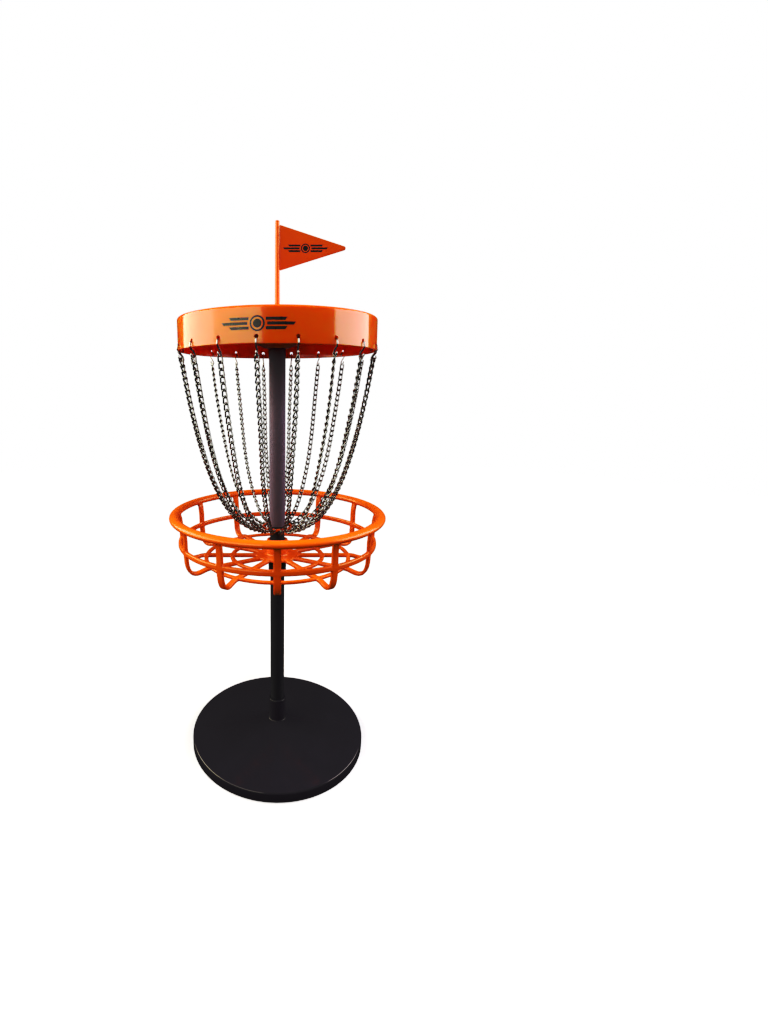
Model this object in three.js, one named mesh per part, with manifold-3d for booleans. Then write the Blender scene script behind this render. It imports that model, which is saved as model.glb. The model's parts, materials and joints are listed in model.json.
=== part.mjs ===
// Small disc golf basket, free-standing, about 61 cm tall with its flag.
// Millimetres, +Z up. The origin is the centre of the base's underside; the front is -Y and
// the flag points along +X. Each real piece is its own named mesh.
import * as THREE from 'three';
import { mergeVertices } from 'three/addons/utils/BufferGeometryUtils.js';
import Module from 'manifold-3d';

const wasm = await Module();
wasm.setup();

// ---------------------------------------------------------------- driving dimensions
const GAP = 0.3;                 // clearance left between pieces that touch on the real object

const BASE_R = 106;              // weighted foot disc
const BASE_EDGE_Z = 12;          // height of the disc's rounded edge
const BASE_WALL = 2.4;
const COLLAR_R = 10.6;           // collar that holds the pole
const COLLAR_TOP_Z = 53;
const BASE_DOME = [[60, 18.2], [14, 24.9]];   // radius and height of two points on the disc's dome
const SOCKET_FLOOR_Z = 14;       // the pole stands here

const LOWER_POLE_R = 8.4;
const LOWER_POLE_SHOULDER_Z = 276.1;
const LOWER_POLE_TOP_Z = 306;
const UPPER_POLE_R = 9.25;
const UPPER_POLE_BORE_R = 8.05;
const UPPER_POLE_TOP_Z = 500;
const SLEEVE_R = 10.5;           // stop sleeve under the basket
const SLEEVE_Z = [221, 235.1];

const RIM_R = 118.5;             // basket rim, centre line
const RIM_HALF_WIDTH = 5.9;      // the rim's section is an oval, wider than tall
const RIM_HALF_HEIGHT = 4;
const RIM_Z = 291.6;
const MID_RING_R = [110.9, 114.7];
const MID_RING_Z = [258.6, 263.8];
const FLOOR_RING_RS = [83.7, 53.2];
const FLOOR_Z = [237.6, 241.4];  // underside and top of the basket's floor bars
const RIB_COUNT = 12;
const RIB_WIDTH = 7.2;
const SPOKE_WIDTH = 6;
const RIB_FOOT_Z = 234.8;        // the ribs' lowest point, below the floor
const HUB_R = 25.4;              // thin disc where the spokes meet
const HUB_COLLAR_R = 12.7;       // collar round the pole
const HUB_COLLAR_Z = [235.4, 260];

const BAND_R = 107.9;            // top band, outside
const BAND_WALL = 2.2;
const BAND_Z = [474.4, 507.8];   // lower edge and shoulder
const BAND_CORNER_R = 2.6;
const HOLE_R = 2;                // holes that carry the S-hooks
const HOLE_Z = 480.75;

const CHAIN_COUNT = 18;
const CHAIN_START_DEG = -80;     // the front of the band lies midway between two chains
const HOOK_WIRE_R = 0.8;
const HOOK_ARC_R = 2.7;          // upper bend, over the band's lower lip
const HOOK_ARC_Z = 477.3;
const HOOK_EYE = [106.2, 466.9]; // centre of the lower bend, radius and height
const HOOK_EYE_R = 2.3;
const CHAIN_BODY_R = 1.8;        // plain rope-like body that stands for the links
const CHAIN_SAG = 33.6;          // catenary parameter
const CHAIN_LOW = [19, 274.4];   // lowest point of a chain, radius and height
const CHAIN_TOP_Z = 462.9;
const RING_R = 16.3;             // collecting ring at the chains' lower ends
const RING_TUBE_R = 1.6;
const RING_Z = 275;

const MAST_R = [2.7, 2.3];       // flag mast, foot and top
const MAST_Z = [488.3, 610];
const PENNANT_Z = [559.9, 605.8];
const PENNANT_TIP = [72.9, 582.4];
const PENNANT_TIP_R = 2;
const PENNANT_THICK = 1.8;

// Numbers of straight sides that stand for a full turn.
const FINE = 36;
const MEDIUM = 24;
const COARSE = 12;

// ---------------------------------------------------------------- materials
function finish(color, roughness, metalness = 0) {
  return new THREE.MeshStandardMaterial({ color, roughness, metalness });
}

const finishes = {
  glossOrange: () => finish(0xe8560a, 0.2),
  mouldedOrange: () => finish(0xf05a08, 0.38),
  flagOrange: () => finish(0xc83c00, 0.42),
  charcoal: () => finish(0x3d353a, 0.45, 0.3),
  black: () => finish(0x17171a, 0.35),
  glossBlack: () => finish(0x1c1b20, 0.16),
  iron: () => finish(0x4a4a4c, 0.7, 0.6),
  zinc: () => finish(0xc4c4c2, 0.28, 1),
  rawSteel: () => finish(0x8c8f94, 0.4, 1),
};

// ---------------------------------------------------------------- solids
// A closed mesh with its faces pointing out, as a manifold solid.
function solid(geometry) {
  const bare = new THREE.BufferGeometry();
  bare.setAttribute('position', geometry.getAttribute('position').clone());
  if (geometry.index) bare.setIndex(geometry.index.clone());
  const merged = mergeVertices(bare, 1e-4);
  const place = merged.getAttribute('position');
  const index = merged.index.array;
  const triangles = [];
  for (let i = 0; i < index.length; i += 3) {
    const [a, b, c] = [index[i], index[i + 1], index[i + 2]];
    if (a !== b && b !== c && c !== a) triangles.push([a, b, c]);
  }
  const corner = (i) => new THREE.Vector3().fromBufferAttribute(place, i);
  const volume = triangles.reduce(
    (sum, [a, b, c]) => sum + corner(a).dot(corner(b).cross(corner(c))), 0);
  const outward = volume > 0 ? triangles : triangles.map(([a, b, c]) => [a, c, b]);
  return new wasm.Manifold(new wasm.Mesh({
    numProp: 3,
    vertProperties: new Float32Array(place.array),
    triVerts: new Uint32Array(outward.flat()),
  }));
}

function geometryOf(manifold) {
  const mesh = manifold.getMesh();
  const geometry = new THREE.BufferGeometry();
  geometry.setAttribute('position', new THREE.BufferAttribute(mesh.vertProperties.slice(), 3));
  geometry.setIndex(new THREE.BufferAttribute(mesh.triVerts.slice(), 1));
  geometry.computeVertexNormals();
  return geometry;
}

function union(parts) {
  return parts.reduce((whole, part) => whole.add(part));
}

// Turns an outline of (radius, height) points about Z.
function lathe(points, segments) {
  const outline = points.map(([r, z]) => new THREE.Vector2(r, z));
  return solid(new THREE.LatheGeometry(outline, segments).rotateX(Math.PI / 2));
}

// A plain hollow turned piece.
function tube(innerR, outerR, z0, z1, segments) {
  return lathe([[innerR, z0], [outerR, z0], [outerR, z1], [innerR, z1], [innerR, z0]], segments);
}

function cylinder(r, z0, z1, segments) {
  return lathe([[0, z0], [r, z0], [r, z1], [0, z1]], segments);
}

function torus(r, tubeR, z, sides, segments) {
  return solid(new THREE.TorusGeometry(r, tubeR, sides, segments).translate(0, 0, z));
}

function turned(manifold, degrees) {
  return manifold.rotate([0, 0, degrees]);
}

// Extrudes a (radius, height) outline to a bar of the given width about the XZ plane.
function radialBar(shape, width, curveSegments) {
  const geometry = new THREE.ExtrudeGeometry(shape, { depth: width, bevelEnabled: false, curveSegments });
  return solid(geometry.translate(0, 0, -width / 2).rotateX(Math.PI / 2));
}

// Sweeps a round section along points that lie in the XZ plane, given as (radius, height).
function rod(points, r, sides, steps) {
  const curve = new THREE.CatmullRomCurve3(points.map(([x, z]) => new THREE.Vector3(x, 0, z)));
  const section = new THREE.Shape();
  for (let i = 0; i < sides; i += 1) {
    const angle = (2 * Math.PI * i) / sides;
    section[i ? 'lineTo' : 'moveTo'](r * Math.cos(angle), r * Math.sin(angle));
  }
  return solid(new THREE.ExtrudeGeometry(section, { steps, extrudePath: curve }));
}

// Points on an arc in (radius, height) space, from one angle to another in degrees.
function arc([r, z], radius, from, to, count) {
  return Array.from({ length: count + 1 }, (_, i) => {
    const angle = THREE.MathUtils.degToRad(from + ((to - from) * i) / count);
    return [r + radius * Math.cos(angle), z + radius * Math.sin(angle)];
  });
}

const assembly = new THREE.Group();

function addPiece(name, manifold, material, degrees = 0) {
  const mesh = new THREE.Mesh(geometryOf(manifold), material);
  mesh.name = name;
  mesh.rotation.z = THREE.MathUtils.degToRad(degrees);
  assembly.add(mesh);
}

// ---------------------------------------------------------------- foot
const BOLT_R = 3;
const BOLT_HEAD_R = 5.8;
const BOLT_HEAD_Z = [5, 9];
const BOLT_TOP_Z = 30;
const WASHER_R = 8;
const SCREW_R = 1.5;
const SCREW_HEAD_R = 3.1;
const SCREW_HEAD_Z = [0.4, 1.1];
const SCREW_TOP_Z = 10.6;
const SCREW_CIRCLE_R = 70;
const SCREW_COUNT = 4;
const PLATE_R = 103;
const PLATE_BORE_R = 9.5;
const PLATE_THICK = 2.4;
const BALLAST_TOP_Z = 8.7;
const BOSS_R = 3.6;
const BOSS_TOP_Z = 15.5;
const SOCKET_WALL_R = 11.6;
const SOCKET_BASE_Z = 10.6;
const DOME_UNDER_Z = BASE_DOME[1][1] - BASE_WALL;

function screwAngle(i) {
  return 45 + (360 / SCREW_COUNT) * i;
}

// One upright cylinder at each of the base screws.
function screwCylinders(r, z0, z1) {
  const one = cylinder(r, z0, z1, COARSE).translate([SCREW_CIRCLE_R, 0, 0]);
  return union(Array.from({ length: SCREW_COUNT }, (_, i) => turned(one, screwAngle(i))));
}

function baseCover() {
  const bore = LOWER_POLE_R + GAP;
  const top = [[BASE_R - 0.6, 0.6], [BASE_R, 1.2], [BASE_R, BASE_EDGE_Z - 2],
    [BASE_R - 0.6, BASE_EDGE_Z - 0.6], [BASE_R - 2.2, BASE_EDGE_Z], ...BASE_DOME, [COLLAR_R + 1.2, 25.5],
    [COLLAR_R + 0.3, 26.8], [COLLAR_R, COLLAR_TOP_Z - 0.8], [COLLAR_R - 0.8, COLLAR_TOP_Z]];
  const socket = [[bore, COLLAR_TOP_Z], [bore, SOCKET_FLOOR_Z], [BOLT_R + GAP, SOCKET_FLOOR_Z],
    [BOLT_R + GAP, SOCKET_BASE_Z], [SOCKET_WALL_R, SOCKET_BASE_Z], [SOCKET_WALL_R, DOME_UNDER_Z]];
  const under = [...BASE_DOME.map(([r, z]) => [r, z - BASE_WALL]).reverse(),
    [BASE_R - BASE_WALL, BASE_EDGE_Z - BASE_WALL], [BASE_R - BASE_WALL, 0.6]];
  const shell = lathe([...top, ...socket, ...under, top[0]], FINE);
  return shell.add(screwCylinders(BOSS_R, PLATE_THICK + GAP, BOSS_TOP_Z))
    .subtract(screwCylinders(SCREW_R + GAP, 0, SCREW_TOP_Z + GAP));
}

function ballast() {
  const disc = tube(SOCKET_WALL_R + 0.8, PLATE_R - 0.6, PLATE_THICK + GAP, BALLAST_TOP_Z, FINE);
  return disc.subtract(screwCylinders(BOSS_R + 1, 0, BOSS_TOP_Z));
}

function basePlate() {
  const disc = tube(PLATE_BORE_R, PLATE_R, 0, PLATE_THICK, FINE);
  return disc.subtract(screwCylinders(SCREW_R + GAP, -1, PLATE_THICK + 1))
    .subtract(screwCylinders(SCREW_HEAD_R + 0.5, -1, SCREW_HEAD_Z[1] + GAP));
}

function plateScrew() {
  const [low, high] = SCREW_HEAD_Z;
  const outline = [[0, low], [SCREW_HEAD_R, low], [SCREW_HEAD_R, high], [SCREW_R, high],
    [SCREW_R, SCREW_TOP_Z - 1], [0, SCREW_TOP_Z]];
  return lathe(outline, COARSE).translate([SCREW_CIRCLE_R, 0, 0]);
}

function poleBolt() {
  const head = cylinder(BOLT_HEAD_R, ...BOLT_HEAD_Z, 6);
  return head.add(cylinder(BOLT_R, BOLT_HEAD_Z[1] - 1, BOLT_TOP_Z, COARSE));
}

function poleWasher() {
  return tube(BOLT_R + GAP, WASHER_R, BOLT_HEAD_Z[1] + GAP, SOCKET_BASE_Z - GAP, MEDIUM);
}

addPiece('base_cover', baseCover(), finishes.glossBlack());
addPiece('base_ballast', ballast(), finishes.iron());
addPiece('base_plate', basePlate(), finishes.black());
for (let i = 0; i < SCREW_COUNT; i += 1) {
  addPiece(`base_screw_${i + 1}`, plateScrew(), finishes.rawSteel(), screwAngle(i));
}
addPiece('pole_bolt', poleBolt(), finishes.rawSteel());
addPiece('pole_washer', poleWasher(), finishes.rawSteel());

// ---------------------------------------------------------------- poles
const POLE_WALL = 1.5;
const SPIGOT_R = UPPER_POLE_BORE_R - GAP;
const FOOT_PLUG_TOP_Z = 34;
const TOP_PLUG_LOW_Z = 478;

function lowerPole() {
  const bore = LOWER_POLE_R - POLE_WALL;
  return lathe([[bore, SOCKET_FLOOR_Z + GAP], [LOWER_POLE_R, SOCKET_FLOOR_Z + GAP],
    [LOWER_POLE_R, LOWER_POLE_SHOULDER_Z], [SPIGOT_R, LOWER_POLE_SHOULDER_Z],
    [SPIGOT_R, LOWER_POLE_TOP_Z], [bore, LOWER_POLE_TOP_Z], [bore, SOCKET_FLOOR_Z + GAP]], MEDIUM);
}

function poleFootPlug() {
  const outer = LOWER_POLE_R - POLE_WALL - GAP;
  return tube(BOLT_R + GAP, outer, SOCKET_FLOOR_Z + 2 * GAP, FOOT_PLUG_TOP_Z, COARSE);
}

function upperPole() {
  return tube(UPPER_POLE_BORE_R, UPPER_POLE_R, LOWER_POLE_SHOULDER_Z + GAP, UPPER_POLE_TOP_Z, MEDIUM);
}

// The top plug closes the upper pole and holds the foot of the mast.
function poleTopPlug() {
  const top = UPPER_POLE_TOP_Z - GAP;
  const bore = MAST_R[0] + GAP;
  return lathe([[0, TOP_PLUG_LOW_Z], [SPIGOT_R, TOP_PLUG_LOW_Z], [SPIGOT_R, top], [bore, top],
    [bore, MAST_Z[0] - GAP], [0, MAST_Z[0] - GAP]], COARSE);
}

function stopSleeve() {
  const [z0, z1] = SLEEVE_Z;
  const bore = LOWER_POLE_R + GAP;
  return lathe([[bore, z0], [SLEEVE_R - 0.6, z0], [SLEEVE_R, z0 + 0.8], [SLEEVE_R, z1], [bore, z1],
    [bore, z0]], MEDIUM);
}

addPiece('lower_pole', lowerPole(), finishes.black());
addPiece('pole_foot_plug', poleFootPlug(), finishes.black());
addPiece('stop_sleeve', stopSleeve(), finishes.black());
addPiece('upper_pole', upperPole(), finishes.charcoal());
addPiece('pole_top_plug', poleTopPlug(), finishes.black());

// ---------------------------------------------------------------- basket
// One rib in side view: down from the rim, round the corner and onto the floor.
const RIB_TOP_Z = RIM_Z - 1;
const RIB_END_R = 85;
const BAR_THICK_Z = [FLOOR_Z[0] + 0.1, FLOOR_Z[1] - 0.1];
const SPOKE_START_R = 11;
const SPOKE_END_R = 88;
const FLOOR_RING_WIDTH = 4.4;

function ribShape() {
  const [under, top] = FLOOR_Z;
  const shape = new THREE.Shape();
  shape.moveTo(118.5, RIB_TOP_Z);
  shape.bezierCurveTo(115.9, 284, 115.2, 273, 114.9, 262);
  shape.bezierCurveTo(114.5, 253, 113.8, 248, 111.8, 243.5);
  shape.bezierCurveTo(109.2, 238, 106.8, RIB_FOOT_Z, 102.2, RIB_FOOT_Z);
  shape.quadraticCurveTo(95, RIB_FOOT_Z, SPOKE_END_R, under);
  shape.lineTo(RIB_END_R, under);
  shape.lineTo(RIB_END_R, top);
  shape.lineTo(91, top - 0.4);
  shape.bezierCurveTo(97, 238.2, 99, 238.2, 102.4, 238.2);
  shape.bezierCurveTo(106.4, 238.2, 109.6, 243, 110.6, 251);
  shape.bezierCurveTo(111.3, 262, 111.6, 278, 113.8, RIB_TOP_Z);
  shape.closePath();
  return shape;
}

function spoke() {
  const [under, top] = BAR_THICK_Z;
  const shape = new THREE.Shape();
  shape.moveTo(SPOKE_START_R, under);
  shape.lineTo(SPOKE_END_R, under);
  shape.lineTo(SPOKE_END_R, top);
  shape.lineTo(SPOKE_START_R, top);
  shape.closePath();
  return radialBar(shape, SPOKE_WIDTH, 1);
}

function hub() {
  const bore = LOWER_POLE_R + GAP;
  const [low, high] = HUB_COLLAR_Z;
  const [under, top] = [BAR_THICK_Z[0] + 1, BAR_THICK_Z[1] + 0.2];
  return lathe([[bore, low], [HUB_COLLAR_R, low], [HUB_COLLAR_R, under], [HUB_R, under], [HUB_R, top],
    [HUB_COLLAR_R + 3, top], [HUB_COLLAR_R + 0.7, top + 2], [HUB_COLLAR_R, top + 5],
    [HUB_COLLAR_R - 0.4, high - 0.6], [HUB_COLLAR_R - 1, high], [bore, high], [bore, low]], MEDIUM);
}

function rim() {
  return torus(RIM_R, RIM_HALF_WIDTH, 0, 8, FINE)
    .scale([1, 1, RIM_HALF_HEIGHT / RIM_HALF_WIDTH]).translate([0, 0, RIM_Z]);
}

function floorRing(r) {
  return tube(r - FLOOR_RING_WIDTH / 2, r + FLOOR_RING_WIDTH / 2, ...BAR_THICK_Z, FINE);
}

function basket() {
  const midRing = tube(...MID_RING_R, ...MID_RING_Z, FINE);
  const rings = [rim(), midRing, ...FLOOR_RING_RS.map(floorRing)];
  const bar = radialBar(ribShape(), RIB_WIDTH, 3).add(spoke());
  const bars = Array.from({ length: RIB_COUNT }, (_, i) => turned(bar, (360 / RIB_COUNT) * i));
  const bore = cylinder(LOWER_POLE_R + GAP, 0, MAST_Z[0], MEDIUM);
  return union([...rings, ...bars, hub()]).subtract(bore);
}

addPiece('basket', basket(), finishes.mouldedOrange());

// ---------------------------------------------------------------- top band
const DECK_Z = 509.6;            // middle of the gently domed top
const FLAG_SOCKET_TOP_Z = 514;
const POLE_SOCKET_LOW_Z = 478.5;
const DRILL_LENGTH = 12;

function band() {
  const [low, shoulder] = BAND_Z;
  const inner = BAND_R - BAND_WALL;
  const corner = [BAND_R - BAND_CORNER_R, shoulder - BAND_CORNER_R];
  const outside = [[BAND_R, low], ...arc(corner, BAND_CORNER_R, 0, 90, 3), [40, DECK_Z - 0.5],
    [6.4, DECK_Z], [5.4, DECK_Z + 1.4], [5.2, FLAG_SOCKET_TOP_Z]];
  const socket = [[MAST_R[0] + GAP, FLAG_SOCKET_TOP_Z], [MAST_R[0] + GAP, UPPER_POLE_TOP_Z + GAP],
    [UPPER_POLE_R + GAP, UPPER_POLE_TOP_Z + GAP], [UPPER_POLE_R + GAP, POLE_SOCKET_LOW_Z]];
  const under = [[11.4, POLE_SOCKET_LOW_Z], [24, 483.2], [31, 491], [36, 503.4], [60, 505.6],
    [inner - 5, 505.2], [inner - 0.8, 501], [inner, 497], [inner, low]];
  const shell = lathe([...outside, ...socket, ...under, outside[0]], FINE);
  const drill = solid(new THREE.CylinderGeometry(HOLE_R, HOLE_R, DRILL_LENGTH, 6).rotateZ(Math.PI / 2))
    .translate([BAND_R, 0, HOLE_Z]);
  const holes = Array.from({ length: CHAIN_COUNT }, (_, i) => turned(drill, chainAngle(i)));
  return shell.subtract(union(holes));
}

function chainAngle(i) {
  return CHAIN_START_DEG + (360 / CHAIN_COUNT) * i;
}

addPiece('top_band', band(), finishes.glossOrange());

// ---------------------------------------------------------------- hooks, chains and their ring
// The hook's free end hangs inside the band, its shank outside; the lower bend carries the chain.
function hookPath() {
  const wallMid = BAND_R - BAND_WALL / 2;
  const [eyeR, eyeZ] = HOOK_EYE;
  return [[wallMid - HOOK_ARC_R, HOOK_ARC_Z - 2.2], ...arc([wallMid, HOOK_ARC_Z], HOOK_ARC_R, 180, 0, 4),
    [wallMid + HOOK_ARC_R, 474.2], [eyeR - HOOK_EYE_R + 1.9, eyeZ + 3.2],
    ...arc(HOOK_EYE, HOOK_EYE_R, 180, 360, 4), [eyeR + HOOK_EYE_R, eyeZ + 1.2]];
}

function catenaryZ(r) {
  return CHAIN_LOW[1] + CHAIN_SAG * (Math.cosh((r - CHAIN_LOW[0]) / CHAIN_SAG) - 1);
}

function catenaryR(z) {
  return CHAIN_LOW[0] + CHAIN_SAG * Math.acosh(1 + (z - CHAIN_LOW[1]) / CHAIN_SAG);
}

// A chain hangs in a catenary and its last links rise a little to the ring.
function chainPath() {
  const topR = catenaryR(CHAIN_TOP_Z);
  const rs = [topR, 100, 92, 82, 70, 58, 46, 35, 27];
  const start = RING_R + RING_TUBE_R + 0.7;
  return [...rs.map((r) => [r, catenaryZ(r)]), [start + 4, RING_Z - 0.5], [start, RING_Z]];
}

const hook = rod(hookPath(), HOOK_WIRE_R, 5, 12);
const chain = rod(chainPath(), CHAIN_BODY_R, 5, 14);
for (let i = 0; i < CHAIN_COUNT; i += 1) {
  const number = String(i + 1).padStart(2, '0');
  addPiece(`s_hook_${number}`, hook, finishes.zinc(), chainAngle(i));
  addPiece(`chain_${number}`, chain, finishes.zinc(), chainAngle(i));
}
addPiece('chain_ring', torus(RING_R, RING_TUBE_R, RING_Z, 6, 18), finishes.mouldedOrange());

// ---------------------------------------------------------------- flag
function mast() {
  const [foot, top] = MAST_Z;
  return lathe([[0, foot], [MAST_R[0] - 0.5, foot], [MAST_R[0], foot + 0.6], [MAST_R[0], 520],
    [MAST_R[1], 600], [MAST_R[1], top - 1.2], [MAST_R[1] - 0.9, top - 0.2], [0, top]], COARSE);
}

function pennant() {
  const [low, high] = PENNANT_Z;
  const [tipR, tipZ] = PENNANT_TIP;
  const hoist = MAST_R[1] + GAP + 0.1;
  const shape = new THREE.Shape();
  shape.moveTo(hoist, low + 1);
  shape.quadraticCurveTo(hoist, low, hoist + 1.2, low + 0.3);
  shape.lineTo(tipR - 0.7 * PENNANT_TIP_R, tipZ - PENNANT_TIP_R);
  shape.quadraticCurveTo(tipR + 0.7 * PENNANT_TIP_R, tipZ, tipR - 0.7 * PENNANT_TIP_R, tipZ + PENNANT_TIP_R);
  shape.lineTo(hoist + 1.2, high - 0.3);
  shape.quadraticCurveTo(hoist, high, hoist, high - 1);
  shape.closePath();
  return radialBar(shape, PENNANT_THICK, 4);
}

addPiece('flag_mast', mast(), finishes.flagOrange());
addPiece('flag_pennant', pennant(), finishes.flagOrange());

export default assembly;
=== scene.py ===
"""Small disc golf basket: the detailed visual model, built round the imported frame. Metres, +Z up."""
import json
import math

import bmesh
import bpy
import numpy as np
from mathutils import Matrix


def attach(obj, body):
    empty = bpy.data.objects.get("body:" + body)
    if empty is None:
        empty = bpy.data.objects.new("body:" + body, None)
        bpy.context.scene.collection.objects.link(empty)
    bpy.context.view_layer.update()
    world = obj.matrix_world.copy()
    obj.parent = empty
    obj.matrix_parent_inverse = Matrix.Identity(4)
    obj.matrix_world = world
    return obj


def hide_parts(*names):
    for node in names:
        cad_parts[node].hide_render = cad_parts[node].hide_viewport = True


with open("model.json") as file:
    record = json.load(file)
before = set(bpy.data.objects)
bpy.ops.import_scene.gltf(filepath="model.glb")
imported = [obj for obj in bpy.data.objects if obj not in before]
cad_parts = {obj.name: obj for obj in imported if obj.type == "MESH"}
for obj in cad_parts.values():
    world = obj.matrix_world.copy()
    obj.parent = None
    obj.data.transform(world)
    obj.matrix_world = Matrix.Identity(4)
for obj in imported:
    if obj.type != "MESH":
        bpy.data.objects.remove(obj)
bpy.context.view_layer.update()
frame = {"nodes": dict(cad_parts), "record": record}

MM = 0.001
rng = np.random.default_rng(18)

# ------------------------------------------------------------------ sizes, in millimetres
BASE_R, BASE_WALL, COLLAR_R, COLLAR_TOP = 106.0, 2.4, 10.6, 53.0
PLATE_R, PLATE_THICK, PLATE_HOLE_R, GROOVE_RS = 103, 2.4, 9.5, (22, 46, 94)
SCREW_COUNT, SCREW_START_DEG, SCREW_CIRCLE_R = 4, 45, 70
LOWER_POLE_R, LOWER_POLE_BORE_R, LOWER_POLE_FOOT = 8.4, 6.9, 14.3
SPIGOT_R, SPIGOT_TOP = 7.75, 306
UPPER_POLE_R, UPPER_POLE_BORE_R, UPPER_POLE_TOP = 9.25, 8.05, 500
SHOULDER_Z = 276.1
FIT_R = 8.7  # bore of everything that the lower pole passes through
SLEEVE_R, SLEEVE_Z = 10.5, (221.0, 235.1)
RIM_R, RIM_HALF_WIDTH, RIM_HALF_HEIGHT, RIM_Z = 118.5, 5.9, 4.0, 291.6
MID_RING_R, MID_RING_Z, MID_RING_SIZE = 112.8, 261.2, (5.8, 4.2)
FLOOR_RING_RS, FLOOR_MID_Z = (83.7, 53.2), 239.5
BAND_R, BAND_WALL, BAND_LOW, BAND_HIGH = 107.9, 2.2, 474.4, 507.8
HOLE_R, HOLE_Z = 2.0, 480.75
HOOK_WIRE_R, HOOK_ARC_R, HOOK_ARC_Z = 0.8, 2.7, 477.3
HOOK_EYE, HOOK_EYE_R = (106.2, 466.9), 2.3
CHAIN_COUNT, CHAIN_START_DEG = 18, -80.0
CHAIN_SAG, CHAIN_LOW = 33.6, (19.0, 274.4)
RING_R, RING_TUBE_R, RING_Z = 16.3, 1.6, 275.0
LINK_PITCH, LINK_WIDTH, LINK_WIRE_R, LINK_TWIST_DEG = 6.5, 5.7, 0.83, 45
ROLL_DEG, ROLL_WANDER_DEG, SIDE_WANDER = 45, 26, 0.55
MAST_FOOT_R, MAST_TOP_R, MAST_FOOT, MAST_TOP = 2.7, 2.3, 488.3, 610
PENNANT_THICK, PENNANT_LOW, PENNANT_HIGH = 1.8, 559.9, 605.8
PENNANT_TIP_X, PENNANT_TIP_LOW, PENNANT_TIP_HIGH = 72.9, 580.85, 583.95
BAND_PRINT_WIDTH, BAND_PRINT_DEG, BAND_PRINT_Z = 69, -99.5, 491.8
FLAG_PRINT_WIDTH, FLAG_PRINT_X, FLAG_PRINT_Z = 48, 30, 582.2
INK_THICK = 0.04
STAGE_R = 2400


# ------------------------------------------------------------------ mesh helpers
def mesh_object(name, vertices, faces, sharp_deg=35.0):
    """A smooth-shaded object from vertices in millimetres, with edges sharper than sharp_deg kept crisp."""
    mesh = bpy.data.meshes.new(name)
    mesh.from_pydata((np.asarray(vertices, float) * MM).tolist(), [], [tuple(map(int, f)) for f in faces])
    welded = bmesh.new()
    welded.from_mesh(mesh)
    bmesh.ops.remove_doubles(welded, verts=welded.verts, dist=1e-6)
    bmesh.ops.recalc_face_normals(welded, faces=welded.faces)
    welded.to_mesh(mesh)
    welded.free()
    obj = bpy.data.objects.new(name, mesh)
    bpy.context.collection.objects.link(obj)
    shade(obj, sharp_deg)
    return obj


def shade(obj, sharp_deg):
    obj.data.polygons.foreach_set("use_smooth", [True] * len(obj.data.polygons))
    obj.data.set_sharp_from_angle(angle=math.radians(sharp_deg))


def rounded(corners, steps=5):
    """An outline whose corners, each (across, up, fillet radius), become arcs of the given steps."""
    points = []
    count = len(corners)
    for i, (x, z, fillet) in enumerate(corners):
        here = np.array([x, z], float)
        before = np.array(corners[i - 1][:2], float) - here
        after = np.array(corners[(i + 1) % count][:2], float) - here
        if not fillet:
            points.append(here)
            continue
        a, b = before / np.linalg.norm(before), after / np.linalg.norm(after)
        angle = math.acos(np.clip(a @ b, -1, 1))
        reach = min(fillet / math.tan(angle / 2), 0.48 * np.linalg.norm(before), 0.48 * np.linalg.norm(after))
        radius = reach * math.tan(angle / 2)
        middle = a + b
        centre = here + middle / np.linalg.norm(middle) * radius / math.sin(angle / 2)
        start, stop = here + a * reach - centre, here + b * reach - centre
        span = math.pi - angle
        turn = math.copysign(1, start[0] * stop[1] - start[1] * stop[0])
        for k in range(steps + 1):
            t = turn * span * k / steps
            c, s = math.cos(t), math.sin(t)
            points.append(centre + [c * start[0] - s * start[1], s * start[0] + c * start[1]])
    return np.array(points)


def grid_faces(rows, columns, close_rows, close_columns):
    """Four-sided faces over a grid of vertices, joined round to the start where a direction is closed."""
    faces = []
    for i in range(rows if close_rows else rows - 1):
        for j in range(columns if close_columns else columns - 1):
            a, b = i * columns + j, i * columns + (j + 1) % columns
            k = ((i + 1) % rows) * columns
            faces.append((a, b, k + (j + 1) % columns, k + j))
    return faces


def revolve(name, outline, segments, close=True):
    """Turns an outline of (r, z) points about Z. A closed outline makes a ring-like solid."""
    outline = np.asarray(outline, float)[:, :2]
    angles = np.arange(segments) * 2 * math.pi / segments
    r, z = outline[:, 0], outline[:, 1]
    vertices = np.stack([np.outer(np.cos(angles), r), np.outer(np.sin(angles), r),
                         np.tile(z, (segments, 1))], -1).reshape(-1, 3)
    return mesh_object(name, vertices, grid_faces(segments, len(outline), True, close))


def section_axes(path, side, closed):
    """Two axes across the path at each point; side is the wanted direction of the first."""
    if closed:
        tangent = np.roll(path, -1, 0) - np.roll(path, 1, 0)
    else:
        tangent = np.gradient(path, axis=0)
    tangent /= np.linalg.norm(tangent, axis=1, keepdims=True)
    first = np.asarray(side, float) * np.ones_like(path)
    first = first - (first * tangent).sum(1, keepdims=True) * tangent
    first /= np.linalg.norm(first, axis=1, keepdims=True)
    return first, np.cross(tangent, first)


CAP_SHOULDER = (0.72, 0.68)  # shares of the radius and of the bulge, at a rounded cap's middle ring


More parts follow.
